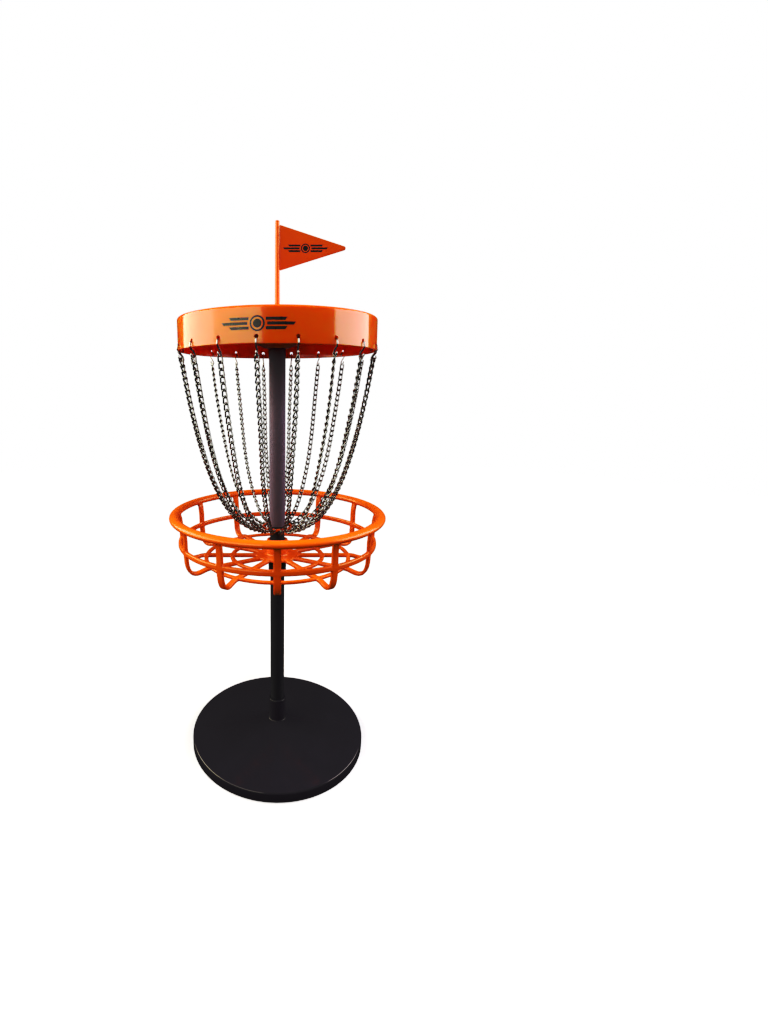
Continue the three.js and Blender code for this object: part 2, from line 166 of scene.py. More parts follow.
def sweep(path, sections, side, closed=False, round_ends=0.0):
    """Vertices and faces of a section swept along a path: one outline, or one for each point.

    An open sweep ends in flat caps, or in caps that bulge by round_ends.
    """
    path = np.asarray(path, float)
    first, second = section_axes(path, side, closed)
    sections = np.broadcast_to(np.asarray(sections, float), (len(path),) + np.shape(sections)[-2:])
    rings = path[:, None] + sections[..., :1] * first[:, None] + sections[..., 1:] * second[:, None]
    rows, columns = rings.shape[:2]
    vertices = rings.reshape(-1, 3)
    faces = grid_faces(rows, columns, closed, True)
    if closed:
        return vertices, faces
    caps = []
    for row, step in ((0, 1), (rows - 1, -1)):
        outward = path[row] - path[row + step]
        outward = outward / np.linalg.norm(outward) * round_ends
        base = row * columns
        if round_ends:
            shoulder = path[row] + (rings[row] - path[row]) * CAP_SHOULDER[0] + outward * CAP_SHOULDER[1]
            start = len(vertices) + sum(len(c) for c in caps)
            caps.append(np.vstack([shoulder, path[row] + outward]))
            faces += [(base + j, base + (j + 1) % columns, start + (j + 1) % columns, start + j)
                      for j in range(columns)]
            faces += [(start + j, start + (j + 1) % columns, start + columns) for j in range(columns)]
        else:
            faces.append(tuple(range(base, base + columns)))
    return np.vstack([vertices, *caps]) if caps else vertices, faces


def circle(radius, sides):
    angles = np.arange(sides) * 2 * math.pi / sides
    return radius * np.stack([np.cos(angles), np.sin(angles)], -1)


def rounded_rectangle(width, height, radius):
    w, h = width / 2, height / 2
    return rounded([(-w, -h, radius), (w, -h, radius), (w, h, radius), (-w, h, radius)], 3)


def join(parts):
    """One vertex and face list from several."""
    vertices, faces, offset = [], [], 0
    for v, f in parts:
        vertices.append(np.asarray(v, float))
        faces += [tuple(i + offset for i in face) for face in f]
        offset += len(v)
    return np.vstack(vertices), faces


def turned(part, degrees):
    """The part turned about Z."""
    vertices, faces = part
    c, s = math.cos(math.radians(degrees)), math.sin(math.radians(degrees))
    return np.asarray(vertices) @ np.array([[c, s, 0], [-s, c, 0], [0, 0, 1]]), faces


def torus(radius, section, z, segments):
    """A ring about Z. The section's first axis points up."""
    angles = np.arange(segments) * 2 * math.pi / segments
    path = np.stack([radius * np.cos(angles), radius * np.sin(angles), np.full(segments, z)], -1)
    return sweep(path, section, (0, 0, 1), closed=True)


STEPS_PER_SPAN = 40


def smooth_path(points, count):
    """A Catmull-Rom curve through the points, evenly resampled."""
    p = np.asarray(points, float)
    p = np.vstack([2 * p[0] - p[1], p, 2 * p[-1] - p[-2]])
    t = np.linspace(0, 1, STEPS_PER_SPAN, endpoint=False)[:, None]
    dense = []
    for a, b, c, d in zip(p, p[1:], p[2:], p[3:]):
        dense.append(0.5 * (2 * b + (c - a) * t + (2 * a - 5 * b + 4 * c - d) * t ** 2
                            + (3 * b - a - 3 * c + d) * t ** 3))
    return resample(np.vstack(dense + [p[-2:-1]]), count)


def resample(path, count):
    """The path with its points spaced evenly."""
    s = np.r_[0, np.cumsum(np.linalg.norm(np.diff(path, axis=0), axis=1))]
    wanted = np.linspace(0, s[-1], count)
    return np.stack([np.interp(wanted, s, path[:, k]) for k in range(path.shape[1])], -1)


def apply_modifiers(obj):
    bpy.context.view_layer.update()
    graph = bpy.context.evaluated_depsgraph_get()
    mesh = bpy.data.meshes.new_from_object(obj.evaluated_get(graph))
    obj.modifiers.clear()
    obj.data = mesh


# ------------------------------------------------------------------ materials
NOISE_LOW, NOISE_HIGH = 0.3, 0.7  # nearly all of a noise pattern lies between these


class Look:
    """A procedural material: a Principled shader with patterns in object space."""

    def __init__(self, name, color, roughness, metallic=0.0, **plain):
        self.material = bpy.data.materials.new(name)
        self.material.use_nodes = True
        self.tree = self.material.node_tree
        self.shader = self.tree.nodes["Principled BSDF"]
        self.color = color
        self.set("Base Color", (*color, 1))
        self.set("Roughness", roughness)
        self.set("Metallic", metallic)
        for socket, value in plain.items():
            self.set(socket.replace("_", " "), value)
        self.place = self.node("ShaderNodeTexCoord").outputs["Object"]
        self.normal = None

    def set(self, socket, value):
        self.shader.inputs[socket].default_value = value

    def node(self, kind, links=(), **values):
        made = self.tree.nodes.new(kind)
        for key, value in values.items():
            if key in made.inputs:
                made.inputs[key].default_value = value
            else:
                setattr(made, key, value)
        for socket, source in dict(links).items():
            self.tree.links.new(source, made.inputs[socket])
        return made

    def noise(self, scale, detail=3.0, stretch=(1, 1, 1)):
        place = self.place
        if stretch != (1, 1, 1):
            place = self.node("ShaderNodeMapping", {"Vector": place}, Scale=stretch).outputs["Vector"]
        return self.node("ShaderNodeTexNoise", {"Vector": place}, Scale=scale, Detail=detail).outputs["Fac"]

    def specks(self, scale, size):
        """Dots with a radius of the given share of a cell, in about one cell in five."""
        cells = self.node("ShaderNodeTexVoronoi", {"Vector": self.place}, Scale=scale)
        dots = self.ramp(cells.outputs["Distance"], size * 0.6, size, 1, 0)
        picked = self.node("ShaderNodeSeparateColor", {"Color": cells.outputs["Color"]}).outputs[0]
        rare = self.ramp(picked, 0.8, 0.82, 0, 1)
        return self.node("ShaderNodeMath", {0: dots, 1: rare}, operation="MULTIPLY").outputs[0]

    def ramp(self, source, low, high, out_low, out_high):
        made = self.node("ShaderNodeMapRange", {"Value": source})
        for key, value in (("From Min", low), ("From Max", high), ("To Min", out_low), ("To Max", out_high)):
            made.inputs[key].default_value = value
        return made.outputs["Result"]

    def tint(self, factor, other):
        """Mixes another colour into the base colour by a pattern."""
        mix = self.node("ShaderNodeMix", {"Factor": factor}, data_type="RGBA")
        current = self.shader.inputs["Base Color"]
        if current.is_linked:
            self.tree.links.new(current.links[0].from_socket, mix.inputs[6])
        else:
            mix.inputs[6].default_value = (*self.color, 1)
        mix.inputs[7].default_value = (*other, 1)
        self.tree.links.new(mix.outputs[2], current)

    def drive(self, socket, source, low, high):
        """Lets a noise pattern run a socket between two values."""
        ramp = self.ramp(source, NOISE_LOW, NOISE_HIGH, low, high)
        self.tree.links.new(ramp, self.shader.inputs[socket])

    def bump(self, source, height_mm, strength=1.0):
        """Adds a bump on top of those before it."""
        links = {"Height": source}
        if self.normal:
            links["Normal"] = self.normal
        made = self.node("ShaderNodeBump", links, Strength=strength, Distance=height_mm * MM)
        self.normal = made.outputs["Normal"]
        self.tree.links.new(self.normal, self.shader.inputs["Normal"])


def gloss_orange():
    """The band's: glossy round the side, satin on the deck, with light passing a little way through."""
    look = Look("gloss_orange_plastic", (0.84, 0.148, 0.001), 0.1, IOR=1.54, Subsurface_Weight=0.75,
                Subsurface_Radius=(1, 0.06, 0.01), Subsurface_Scale=0.006)
    look.tint(look.ramp(look.noise(22), 0.35, 0.75, 0, 0.35), (0.79, 0.132, 0.001))
    height = look.node("ShaderNodeSeparateXYZ", {"Vector": look.place}).outputs["Z"]
    satin_deck = look.ramp(height, (BAND_HIGH - 0.6) * MM, BAND_HIGH * MM, 0, 0.27)
    polish = look.ramp(look.noise(60, 5), NOISE_LOW, NOISE_HIGH, 0.07, 0.15)
    roughness = look.node("ShaderNodeMath", {0: polish, 1: satin_deck}, operation="ADD").outputs[0]
    look.tree.links.new(roughness, look.shader.inputs["Roughness"])
    look.bump(look.noise(240, 2), 0.03, 0.35)
    look.bump(look.noise(14, 1), 0.5, 0.12)
    return look.material


def moulded_orange():
    look = Look("moulded_orange_plastic", (0.82, 0.134, 0.001), 0.22, IOR=1.45)
    look.tint(look.ramp(look.noise(35, 4), 0.35, 0.75, 0, 0.4), (0.75, 0.108, 0.001))
    look.drive("Roughness", look.noise(90, 5), 0.17, 0.28)
    look.bump(look.noise(900, 3), 0.02, 0.3)
    look.bump(look.noise(45, 2), 0.25, 0.15)
    return look.material


def flag_orange():
    look = Look("flag_orange_plastic", (0.62, 0.104, 0.001), 0.4, IOR=1.35)
    look.tint(look.ramp(look.noise(40, 3), 0.4, 0.75, 0, 0.45), (0.55, 0.085, 0.001))
    look.drive("Roughness", look.noise(120, 4), 0.3, 0.45)
    look.bump(look.noise(1100, 3), 0.02, 0.35)
    return look.material


def powder_coat(name, color, lighter, roughness):
    look = Look(name, color, roughness, Specular_IOR_Level=0.15)
    look.tint(look.ramp(look.noise(1400, 2), 0.45, 0.7, 0, 0.5), lighter)
    look.tint(look.ramp(look.noise(50, 4, (1, 1, 0.12)), 0.4, 0.8, 0, 0.3), lighter)
    look.drive("Roughness", look.noise(260, 4), roughness - 0.06, roughness + 0.1)
    look.bump(look.noise(1700, 3), 0.03, 0.45)
    return look.material


def black_plastic():
    look = Look("fine_textured_black_plastic", (0.010, 0.010, 0.011), 0.42)
    look.tint(look.ramp(look.noise(300, 4), 0.5, 0.75, 0, 0.4), (0.022, 0.022, 0.024))
    look.drive("Roughness", look.noise(180, 4), 0.36, 0.52)
    look.bump(look.noise(2200, 2), 0.03, 0.5)
    return look.material


def gloss_black():
    look = Look("gloss_black_plastic", (0.0215, 0.0178, 0.0295), 0.12)
    look.tint(look.ramp(look.noise(26, 5), 0.45, 0.8, 0, 0.6), (0.028, 0.0238, 0.037))
    look.tint(look.specks(420, 0.12), (0.06, 0.055, 0.06))
    look.drive("Roughness", look.noise(75, 6), 0.07, 0.14)
    look.bump(look.noise(320, 3), 0.01, 0.15)
    return look.material


def plated(name, color, darker, roughness):
    look = Look(name, color, roughness, 1.0)
    look.tint(look.ramp(look.noise(420, 4), 0.42, 0.68, 0, 0.7), darker)
    look.drive("Roughness", look.noise(700, 4), roughness - 0.06, roughness + 0.12)
    look.bump(look.noise(1500, 3), 0.03, 0.4)
    return look.material


def cast_ballast():
    look = Look("rough_cast_ballast", (0.08, 0.08, 0.082), 0.75, 0.4)
    look.tint(look.ramp(look.noise(160, 6), 0.4, 0.7, 0, 0.7), (0.14, 0.11, 0.09))
    look.bump(look.noise(420, 6), 0.25, 0.8)
    return look.material


def black_ink():
    look = Look("black_print", (0.010, 0.011, 0.016), 0.3)
    look.tint(look.ramp(look.noise(240, 3), 0.45, 0.75, 0, 0.4), (0.03, 0.032, 0.04))
    look.drive("Roughness", look.noise(300, 3), 0.24, 0.4)
    return look.material


MATERIALS = {
    "gloss_orange": gloss_orange(),
    "moulded_orange": moulded_orange(),
    "flag_orange": flag_orange(),
    "charcoal_pole": powder_coat("charcoal_powder_coat", (0.152, 0.126, 0.184), (0.18, 0.152, 0.215), 0.72),
    "black_pole": powder_coat("black_powder_coat", (0.021, 0.020, 0.029), (0.030, 0.029, 0.039), 0.46),
    "black_plastic": black_plastic(),
    "gloss_black_plastic": gloss_black(),
    "cast_ballast": cast_ballast(),
    "plated_wire": plated("zinc_plated_wire", (0.46, 0.475, 0.51), (0.26, 0.27, 0.29), 0.16),
    "plated_chain": plated("nickel_plated_chain", (0.30, 0.31, 0.335), (0.09, 0.093, 0.10), 0.10),
    "bright_steel": plated("zinc_plated_steel", (0.6, 0.6, 0.61), (0.42, 0.42, 0.44), 0.3),
}
INK = black_ink()


def place(obj, body, slot, nodes=(), material=None):
    """Gives a piece its material and body, and hides the CAD nodes that it stands for."""
    obj.data.materials.clear()
    obj.data.materials.append(material or MATERIALS[slot])
    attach(obj, body)
    if nodes:
        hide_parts(*nodes)


# ------------------------------------------------------------------ foot
def make_foot():
    cover = rounded([
        (BASE_R, 0.6, 0.6), (BASE_R, 12, 2.2), (60, 18.2, 220), (COLLAR_R + 0.2, 25.4, 1.3),
        (COLLAR_R, COLLAR_TOP, 0.9), (FIT_R, COLLAR_TOP, 0.5), (FIT_R, 14, 0), (3.3, 14, 0), (3.3, 10.6, 0),
        (11.6, 10.6, 0.5), (11.6, 22.5, 1.5), (60, 15.8, 120), (BASE_R - BASE_WALL, 9.7, 1.5),
        (BASE_R - BASE_WALL, 0.6, 0.4)], 8)
    place(revolve("foot_cover", cover, 192), "stand", "gloss_black_plastic", ["base_cover"])

    plate = [(PLATE_R, 0, 0.5), (PLATE_R, PLATE_THICK, 0.4), (PLATE_HOLE_R, PLATE_THICK, 0.4),
             (PLATE_HOLE_R, 0, 0.5)]
    for r in GROOVE_RS:
        plate += [(r, 0, 0.3), (r + 0.4, 0.7, 0.3), (r + 2.6, 0.7, 0.3), (r + 3, 0, 0.3)]
    bottom = revolve("foot_plate", rounded(plate, 3), 144)
    head_pocket, shank_hole = (3.6, 1.4), (1.8, 4)
    cutters = []
    for r, top in (head_pocket, shank_hole):
        for i in range(SCREW_COUNT):
            cutter = revolve(f"cut_{r}_{i}", [(0, -1), (r, -1), (r, top), (0, top)], 24)
            cutter.location = screw_place(i)
            cutters.append(cutter)
    cut(bottom, cutters)
    place(bottom, "stand", "black_plastic", ["base_plate"])

    for i in range(SCREW_COUNT):
        screw = revolve(f"foot_screw_{i + 1}", rounded([
            (0, 0.4, 0), (2.4, 0.4, 1), (3.1, 0.8, 0.4), (3.1, 1.1, 0.1), (1.5, 1.1, 0.2), (1.5, 9.6, 0.2),
            (0, 10.6, 0)], 3), 32, close=False)
        cut(screw, [block(f"slot_{i}_{turn}", (2.9, 0.6, 1.0), (0, 0, 0.5), turn) for turn in (0, 90)])
        screw.data.transform(Matrix.Translation(screw_place(i)))
        place(screw, "stand", "bright_steel", [f"base_screw_{i + 1}"])


def screw_place(i):
    angle = math.radians(SCREW_START_DEG + 360 / SCREW_COUNT * i)
    return (SCREW_CIRCLE_R * MM * math.cos(angle), SCREW_CIRCLE_R * MM * math.sin(angle), 0)


def block(name, size, centre, turn_deg):
    """A rectangular cutter."""
    half = np.array(size) / 2
    corners = np.array([(x, y, z) for x in (-1, 1) for y in (-1, 1) for z in (-1, 1)]) * half
    faces = [(0, 1, 3, 2), (4, 6, 7, 5), (0, 4, 5, 1), (2, 3, 7, 6), (0, 2, 6, 4), (1, 5, 7, 3)]
    vertices, _ = turned((corners, faces), turn_deg)
    return mesh_object(name, vertices + np.array(centre), faces)


def cut(obj, cutters):
    """Cuts the cutters out of the object and removes them."""
    for cutter in cutters:
        modifier = obj.modifiers.new("cut", "BOOLEAN")
        modifier.operation = "DIFFERENCE"
        modifier.solver = "EXACT"
        modifier.object = cutter
    apply_modifiers(obj)
    for cutter in cutters:
        bpy.data.objects.remove(cutter)
    shade(obj, 35)


# ------------------------------------------------------------------ poles
def make_poles():
    lower = rounded([
        (LOWER_POLE_BORE_R, LOWER_POLE_FOOT, 0.3), (LOWER_POLE_R, LOWER_POLE_FOOT, 0.3),
        (LOWER_POLE_R, SHOULDER_Z, 0.25), (SPIGOT_R, SHOULDER_Z, 0), (SPIGOT_R, SPIGOT_TOP, 0.3),
        (LOWER_POLE_BORE_R, SPIGOT_TOP, 0.3)], 3)
    place(revolve("pole_lower", lower, 96), "stand", "black_pole", ["lower_pole"])
    upper = rounded([
        (UPPER_POLE_BORE_R, SHOULDER_Z + 0.3, 0.3), (UPPER_POLE_R, SHOULDER_Z + 0.3, 0.5),
        (UPPER_POLE_R, UPPER_POLE_TOP, 0.4), (UPPER_POLE_BORE_R, UPPER_POLE_TOP, 0.3)], 4)
    place(revolve("pole_upper", upper, 96), "stand", "charcoal_pole", ["upper_pole"])
    low, high = SLEEVE_Z
    groove_r = SLEEVE_R - 0.35
    sleeve = rounded([
        (FIT_R, low, 0.5), (SLEEVE_R, low, 1.1), (SLEEVE_R, low + 3, 0.3), (groove_r, low + 3.3, 0.2),
        (groove_r, low + 4.3, 0.2), (SLEEVE_R, low + 4.6, 0.3), (SLEEVE_R, high, 0.7),
        (FIT_R, high, 0.3)], 4)
    place(revolve("pole_sleeve", sleeve, 96), "stand", "black_plastic", ["stop_sleeve"])


# ------------------------------------------------------------------ basket
RIB_COUNT = 12
RIB_LINE = [(116.2, 291), (114.2, 284), (113.4, 276), (113.2, 268), (112.9, 260), (112.3, 251),
            (110.8, 244.2), (107.6, 238.8), (102.3, 236.5), (96.5, 237.2), (90.5, 238.9),
            (84, FLOOR_MID_Z), (50, FLOOR_MID_Z), (30, FLOOR_MID_Z), (12, FLOOR_MID_Z)]
RIB_SIZE, SPOKE_SIZE = (7.6, 3.6), (6.2, 4.1)
HUB_R, HUB_COLLAR_R, HUB_COLLAR_Z = 25.4, 12.7, (235.4, 260)


def rib():
    """One rib that comes down from the rim and turns into a spoke, which widens at the hub."""
    line = np.array(RIB_LINE)
    path = smooth_path(np.stack([line[:, 0], np.zeros(len(line)), line[:, 1]], -1), 70)
    blend = np.clip((108 - path[:, 0]) / 16, 0, 1) * (path[:, 2] < 250)
    width = RIB_SIZE[0] + (SPOKE_SIZE[0] - RIB_SIZE[0]) * blend
    thick = RIB_SIZE[1] + (SPOKE_SIZE[1] - RIB_SIZE[1]) * blend
    width = width + 1.8 * np.clip((36 - path[:, 0]) / 12, 0, 1) ** 2
    sections = [rounded_rectangle(w, t, 0.9) for w, t in zip(width, thick)]
    return sweep(path, sections, (0, 1, 0))


def make_basket():
    flat_bar = rounded_rectangle(3.6, 4.9, 1.0)
    oval = circle(1, 32) * [RIM_HALF_HEIGHT, RIM_HALF_WIDTH]
    parts = [torus(RIM_R, oval, RIM_Z, 200),
             torus(MID_RING_R, rounded_rectangle(*MID_RING_SIZE, 1.2), MID_RING_Z, 180)]
    parts += [torus(r, flat_bar, FLOOR_MID_Z, 160) for r in FLOOR_RING_RS]
    parts += [turned(rib(), 360 / RIB_COUNT * i) for i in range(RIB_COUNT)]
    low, high = HUB_COLLAR_Z
    outline = rounded([
        (FIT_R, low, 0.4), (HUB_COLLAR_R, low, 0.6), (HUB_COLLAR_R, 238.6, 0.5), (HUB_R, 238.6, 1.2),
        (HUB_R, 241.5, 1.2), (HUB_COLLAR_R + 0.3, 241.7, 2.6), (HUB_COLLAR_R - 0.3, high, 1),
        (FIT_R, high, 0.4)], 5)
    angles = np.arange(96) * 2 * math.pi / 96
    hub = np.stack([np.outer(np.cos(angles), outline[:, 0]), np.outer(np.sin(angles), outline[:, 0]),
                    np.tile(outline[:, 1], (96, 1))], -1).reshape(-1, 3)
    parts.append((hub, grid_faces(96, len(outline), True, True)))
    basket = mesh_object("basket_moulding", *join(parts), sharp_deg=180)
    fuse(basket, voxel_mm=0.8, smooth_steps=2, keep=0.42)
    bore = revolve("hub_bore", [(0, 225), (FIT_R, 225), (FIT_R, 300), (0, 300)], 96, close=False)
    cut(basket, [bore])
    shade(basket, 50)
    place(basket, "stand", "moulded_orange", ["basket"])


def fuse(obj, voxel_mm, smooth_steps, keep):
    """Melts overlapping parts into one moulding with small fillets where they meet."""
    remesh = obj.modifiers.new("melt", "REMESH")
    remesh.mode = "VOXEL"
    remesh.voxel_size = voxel_mm * MM
    smooth = obj.modifiers.new("smooth", "SMOOTH")
    smooth.factor = 0.5
    smooth.iterations = smooth_steps
    thin = obj.modifiers.new("thin", "DECIMATE")
    thin.ratio = keep
    apply_modifiers(obj)


# ------------------------------------------------------------------ top band
def make_band():
    """The band, with the flag's socket on top and the flared boss that holds the pole."""
    inner = BAND_R - BAND_WALL
    outline = rounded([
        (BAND_R, BAND_LOW, 0.7), (BAND_R, BAND_HIGH, 2.6), (60, 508.9, 60), (6.6, 509.6, 1.2),
        (5.3, 514, 0.8), (3, 514, 0.4), (3, 500.3, 0), (9.55, 500.3, 0), (9.55, 478.5, 0.4),
        (11.4, 478.5, 0.6), (24, 483.2, 10), (31, 491, 12), (36, 503.4, 7), (60, 505.7, 30),
        (inner, 505.2, 5), (inner, BAND_LOW, 0.7)], 8)
    shell = revolve("target_band", outline, 216)
    cutters = []
    for i in range(CHAIN_COUNT):
        drill = revolve(f"drill_{i}", [(0, -6), (HOLE_R, -6), (HOLE_R, 6), (0, 6)], 28, close=False)
        angle = math.radians(chain_angle(i))
        drill.rotation_euler = (0, math.pi / 2, angle)
        drill.location = (BAND_R * MM * math.cos(angle), BAND_R * MM * math.sin(angle), HOLE_Z * MM)
        cutters.append(drill)
    cut(shell, cutters)
    place(shell, "stand", "gloss_orange", ["top_band"])


def chain_angle(i):
    return CHAIN_START_DEG + 360 / CHAIN_COUNT * i


# ------------------------------------------------------------------ hooks, chains, ring
def arc(centre, radius, start, stop, count):
    """Points on an arc between two angles in degrees."""
    angles = np.radians(np.linspace(start, stop, count))
    return np.stack([centre[0] + radius * np.cos(angles), centre[1] + radius * np.sin(angles)], -1)


def make_hook(i):
    """A wire that hooks through the band's hole and ends in the bend that the chain hangs on."""
    wall_mid = BAND_R - BAND_WALL / 2
    r, z = HOOK_EYE
    points = np.vstack([
        [(wall_mid - HOOK_ARC_R, HOOK_ARC_Z - 2.2)], arc((wall_mid, HOOK_ARC_Z), HOOK_ARC_R, 180, 0, 7),
        [(wall_mid + HOOK_ARC_R, BAND_LOW), (r + 0.4, z + 3.9)], arc(HOOK_EYE, HOOK_EYE_R, 180, 360, 7),
        [(r + HOOK_EYE_R, z + 1.2)]])
    path = smooth_path(np.stack([points[:, 0], np.zeros(len(points)), points[:, 1]], -1), 56)
    part = sweep(path, circle(HOOK_WIRE_R, 12), (0, 1, 0), round_ends=HOOK_WIRE_R * 0.8)
    hook = mesh_object(f"hook_{i + 1:02d}", *turned(part, chain_angle(i)), sharp_deg=60)
    place(hook, f"s_hook_{i + 1:02d}", "plated_wire", [f"s_hook_{i + 1:02d}"])


def link():
    """One twisted link about the origin, its length along X."""
    bend_steps, wire_sides = 14, 8
    half_length = LINK_PITCH / 2 + LINK_WIRE_R
    bend = LINK_WIDTH / 2 - LINK_WIRE_R
    straight = half_length - bend
    outline = np.vstack([arc((straight, 0), bend, -90, 90, bend_steps),
                         arc((-straight, 0), bend, 90, 270, bend_steps)])
    twist = math.radians(LINK_TWIST_DEG) * outline[:, 0] / half_length
    path = np.stack([outline[:, 0], outline[:, 1] * np.cos(twist), outline[:, 1] * np.sin(twist)], -1)
    side = np.stack([np.zeros(len(path)), -np.sin(twist), np.cos(twist)], -1)
    return sweep(path, circle(LINK_WIRE_R, wire_sides), side, closed=True)


def catenary(r):
    """The height of the chain's hanging curve at a distance from the pole's axis."""
    return CHAIN_LOW[1] + CHAIN_SAG * (np.cosh((r - CHAIN_LOW[0]) / CHAIN_SAG) - 1)


def chain_line():
    """The chain's centre line in the XZ plane, from the collecting ring up to the hook's lower bend."""
    radii = np.array([28.0, 34, 42, 50, 58, 66, 74, 82, 90, 96, 101, 104.4])
    points = [(RING_R, RING_Z), (19.5, 274.9), (23, 274.6)] + [(r, catenary(r)) for r in radii]
    points.append((HOOK_EYE[0] - 0.1, HOOK_EYE[1] - HOOK_EYE_R))
    points = np.array(points)
    return smooth_path(np.stack([points[:, 0], np.zeros(len(points)), points[:, 1]], -1), 1200)


WANDER_STEPS = 40


def make_chain(i, line, one_link):
    """Links set along the line, each rolled and moved aside a little; both fade out towards the ends."""
    wander = np.cumsum(rng.normal(0, 1, WANDER_STEPS))
    drift, _ = rng.normal(0, 0.5, 2)
    steps = np.linalg.norm(np.diff(line, axis=0), axis=1)
    length = np.r_[0, np.cumsum(steps)]
    first = LINK_PITCH / 2 - RING_TUBE_R
    last = length[-1] - (LINK_PITCH / 2 - HOOK_WIRE_R)
    count = round((last - first) / LINK_PITCH) + 1
    centres = np.linspace(first, last, count)
    share = np.linspace(0, 1, count)
    calm = np.sin(math.pi * share) ** 0.7
    roll = np.interp(share, np.linspace(0, 1, WANDER_STEPS), wander / (np.abs(wander).max() + 1e-6))
    roll = math.radians(ROLL_DEG) + math.radians(ROLL_WANDER_DEG) * roll * calm
    sideways = SIDE_WANDER * calm * np.sin(share * 9 + drift * 6)
    vertices, faces = one_link
    parts = []
    for centre, angle, off in zip(centres, roll, sideways):
        here = np.array([np.interp(centre, length, line[:, k]) for k in range(3)])
        ahead, behind = (np.array([np.interp(centre + way, length, line[:, k]) for k in range(3)])
                         for way in (2, -2))
        along = (ahead - behind) / np.linalg.norm(ahead - behind)
        across = np.array([0.0, 1.0, 0.0])
        up = np.cross(along, across)
        flat = math.cos(angle) * up + math.sin(angle) * across
        basis = np.stack([along, flat, np.cross(along, flat)])
        parts.append((vertices @ basis + here + across * off, faces))
    chain = mesh_object(f"chain_links_{i + 1:02d}", *turned(join(parts), chain_angle(i)), sharp_deg=80)
    place(chain, f"chain_{i + 1:02d}", "plated_chain", [f"chain_{i + 1:02d}"])


def make_hanging_parts():
    line, one_link = chain_line(), link()
    for i in range(CHAIN_COUNT):
        make_hook(i)
        make_chain(i, line, one_link)
    ring = mesh_object("collecting_ring", *torus(RING_R, circle(RING_TUBE_R, 20), RING_Z, 96), sharp_deg=60)
    place(ring, "chain_ring", "moulded_orange", ["chain_ring"])


# ------------------------------------------------------------------ flag
def slab(name, outline, thickness, edge):
    """A flat plate in the XZ plane from an outline, with rounded edges."""
    outline = np.asarray(outline, float)
    mesh = bmesh.new()
    ring = [mesh.verts.new((x * MM, -thickness / 2 * MM, z * MM)) for x, z in outline]
    face = mesh.faces.new(ring)
    out = bmesh.ops.extrude_face_region(mesh, geom=[face])
    moved = [v for v in out["geom"] if isinstance(v, bmesh.types.BMVert)]
    bmesh.ops.translate(mesh, verts=moved, vec=(0, thickness * MM, 0))
    bmesh.ops.recalc_face_normals(mesh, faces=mesh.faces)
    rims = [e for e in mesh.edges if abs(e.verts[0].co.y - e.verts[1].co.y) < 1e-9]
    bmesh.ops.bevel(mesh, geom=rims, offset=edge * MM, segments=3, profile=0.5, affect="EDGES")
    bmesh.ops.triangulate(mesh, faces=[f for f in mesh.faces if len(f.verts) > 4])
    data = bpy.data.meshes.new(name)
    mesh.to_mesh(data)
    mesh.free()
    obj = bpy.data.objects.new(name, data)
    bpy.context.collection.objects.link(obj)
    shade(obj, 40)
    return obj


def make_flag():
    mast = rounded([
        (0, MAST_FOOT, 0), (MAST_FOOT_R, MAST_FOOT, 0.5), (MAST_FOOT_R, 522, 20), (MAST_TOP_R, 600, 20),
        (MAST_TOP_R, MAST_TOP, 1.4), (0, MAST_TOP, 0)], 6)
    place(revolve("mast_rod", mast, 48, close=False), "flag_mast", "moulded_orange", ["flag_mast"])
    hoist = MAST_TOP_R + 0.1
    outline = rounded([(hoist, PENNANT_LOW, 0.9), (PENNANT_TIP_X, PENNANT_TIP_LOW, 2),
                       (PENNANT_TIP_X, PENNANT_TIP_HIGH, 2), (hoist, PENNANT_HIGH, 0.9)], 6)
    sheet = slab("pennant_sheet", outline, PENNANT_THICK, 0.45)
    place(sheet, "flag_pennant", "flag_orange", ["flag_pennant"])


# ------------------------------------------------------------------ printed pictogram
def winged_disc(width):
    """Outlines in (x, z): a disc seen from above between two sets of tapering stripes."""
    def half_ring(outer, inner, start):
        return np.vstack([arc((0, 0), outer, start, start + 180, 17),
                          arc((0, 0), inner, start + 180, start, 17)])

    shapes = [half_ring(0.1, 0.076, 0), half_ring(0.1, 0.076, 180), arc((0, 0), 0.056, 0, 348, 30)]
    for side in (1, -1):
        for z, start, stop in ((0.058, 0.112, 0.39), (0.0, 0.13, 0.5), (-0.058, 0.112, 0.39)):
            stripe = [(start, z - 0.019), (stop - 0.03, z - 0.019), (stop, z + 0.019), (start, z + 0.019)]
            shapes.append(np.array(stripe) * [side, 1])
    return [width * np.asarray(shape) for shape in shapes]


def printed(name, shapes, onto, cell):
    """Thin ink patches: each outline is filled with small triangles and laid on a surface by onto(x, z)."""
    mesh = bmesh.new()
    for outline in shapes:
        verts = [mesh.verts.new((x, 0, z)) for x, z in outline]
        face = mesh.faces.new(verts)
        bmesh.ops.triangulate(mesh, faces=[face])
    bmesh.ops.subdivide_edges(mesh, edges=[e for e in mesh.edges if e.calc_length() > cell], cuts=6,
                              use_grid_fill=True)
    bmesh.ops.triangulate(mesh, faces=mesh.faces)
    for v in mesh.verts:
        v.co = onto(v.co.x, v.co.z)
    data = bpy.data.meshes.new(name)
    mesh.to_mesh(data)
    mesh.free()
    obj = bpy.data.objects.new(name, data)
    bpy.context.collection.objects.link(obj)
    thick = obj.modifiers.new("ink", "SOLIDIFY")
    thick.thickness = INK_THICK * MM
    thick.offset = 0
    apply_modifiers(obj)
    shade(obj, 60)
    return obj


